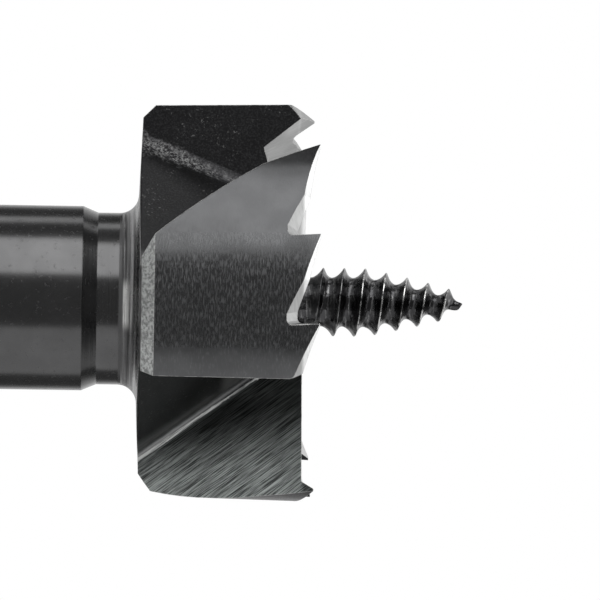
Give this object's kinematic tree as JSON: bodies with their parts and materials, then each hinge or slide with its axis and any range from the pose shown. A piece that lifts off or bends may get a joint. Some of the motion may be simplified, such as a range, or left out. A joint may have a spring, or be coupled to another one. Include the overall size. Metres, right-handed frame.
{
  "type": "forstner bit",
  "caption": "Forstner bit with a round shank, a stepped neck, a winged head with saw-toothed rims and radial lips, and a tapered feed screw.",
  "frame": {"origin": "centre of the shank's flat end, on which the bit stands", "axes": "+Z along the bit's axis, from the shank's end towards the point of the feed screw"},
  "size_m": [0.0252, 0.0252, 0.09],
  "materials": {
    "blackened_steel": "blackened tool steel, ground bright on the lips, teeth and rake faces"
  },
  "bodies": {
    "root": {"forstner_bit": "blackened_steel"}
  },
  "joints": []
}
